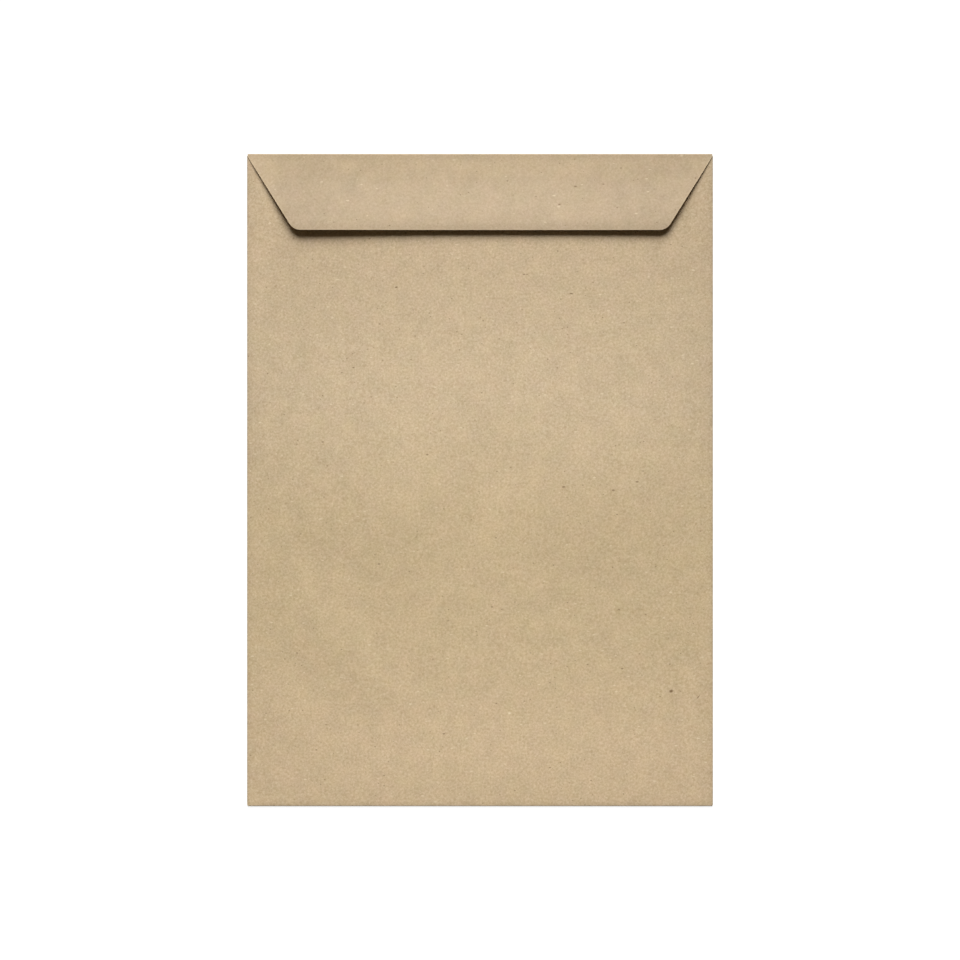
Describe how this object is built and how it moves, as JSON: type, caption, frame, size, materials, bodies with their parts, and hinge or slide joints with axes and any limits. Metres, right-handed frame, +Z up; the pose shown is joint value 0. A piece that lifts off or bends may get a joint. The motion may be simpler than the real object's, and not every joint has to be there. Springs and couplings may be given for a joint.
{
  "type": "paper envelope",
  "caption": "Flat pocket envelope of folded kraft paper, with a tapered flap turned down over the mouth at its short end and left unsealed.",
  "frame": {"origin": "middle of the front panel's outer face, which lies on the ground", "axes": "+X across the envelope, +Y up to the flap's fold, +Z up, out of the side that the flap is turned down on"},
  "size_m": [0.25, 0.35, 0.004],
  "materials": {
    "kraft_paper": "matte"
  },
  "bodies": {
    "root": {"envelope": "kraft_paper"}
  },
  "joints": []
}
